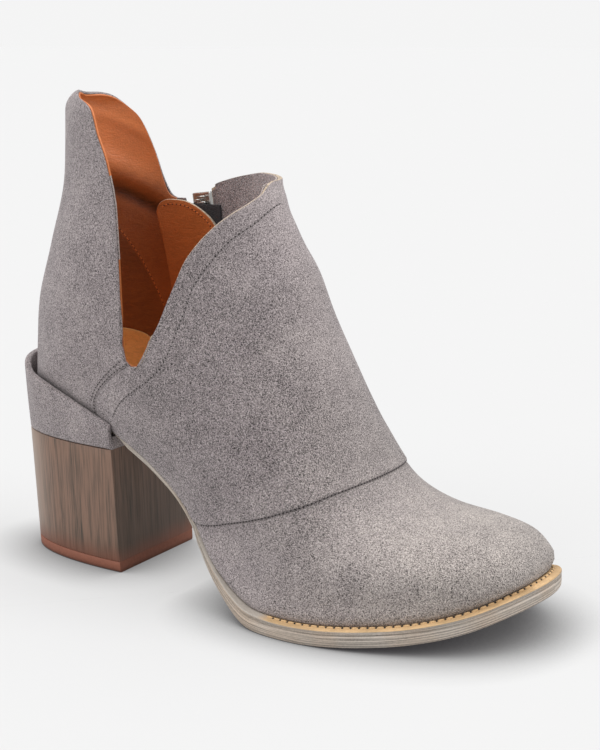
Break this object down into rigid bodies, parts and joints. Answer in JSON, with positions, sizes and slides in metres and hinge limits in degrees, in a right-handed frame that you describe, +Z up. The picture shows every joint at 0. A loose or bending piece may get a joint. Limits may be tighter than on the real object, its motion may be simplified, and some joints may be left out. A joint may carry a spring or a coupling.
{
  "type": "ankle boot",
  "caption": "Right ankle boot with a V cut-out on the outer side, an inner zip, a stacked block heel with a leather cover and a welted sole",
  "frame": {"origin": "on the floor under the middle of the boot's overall box", "axes": "+X to the toe, +Y to the inner side with the zip, +Z up"},
  "size_m": [0.24, 0.0952, 0.1942],
  "materials": {
    "suede": "fine napped suede, warm grey",
    "sole_leather": "matte, washed edge",
    "welt_leather": "matte, stitched",
    "lining_leather": "smooth, slightly glossy",
    "stacked_wood": "matte, fine upright grain",
    "lift_rubber": "matte",
    "zip_cloth": "woven tape",
    "zip_metal": "satin"
  },
  "bodies": {
    "boot": {"upper": "suede", "heel_cover": "suede", "outsole": "sole_leather", "welt": "welt_leather", "insole": "lining_leather", "zip_guard": "lining_leather", "heel_block": "stacked_wood", "top_lift": "lift_rubber", "zip_tape": "zip_cloth", "zip_teeth": "zip_metal", "zip_slider": "zip_metal"},
    "pull": {"zip_pull": "zip_metal"}
  },
  "joints": [
    {"name": "pull_hinge", "type": "hinge", "parent": "boot", "child": "pull", "pos_m": [-0.05573, 0.04192, 0.14466], "axis": [0.9915, 0.0103, 0.1294], "range_deg": [0, 160]}
  ]
}
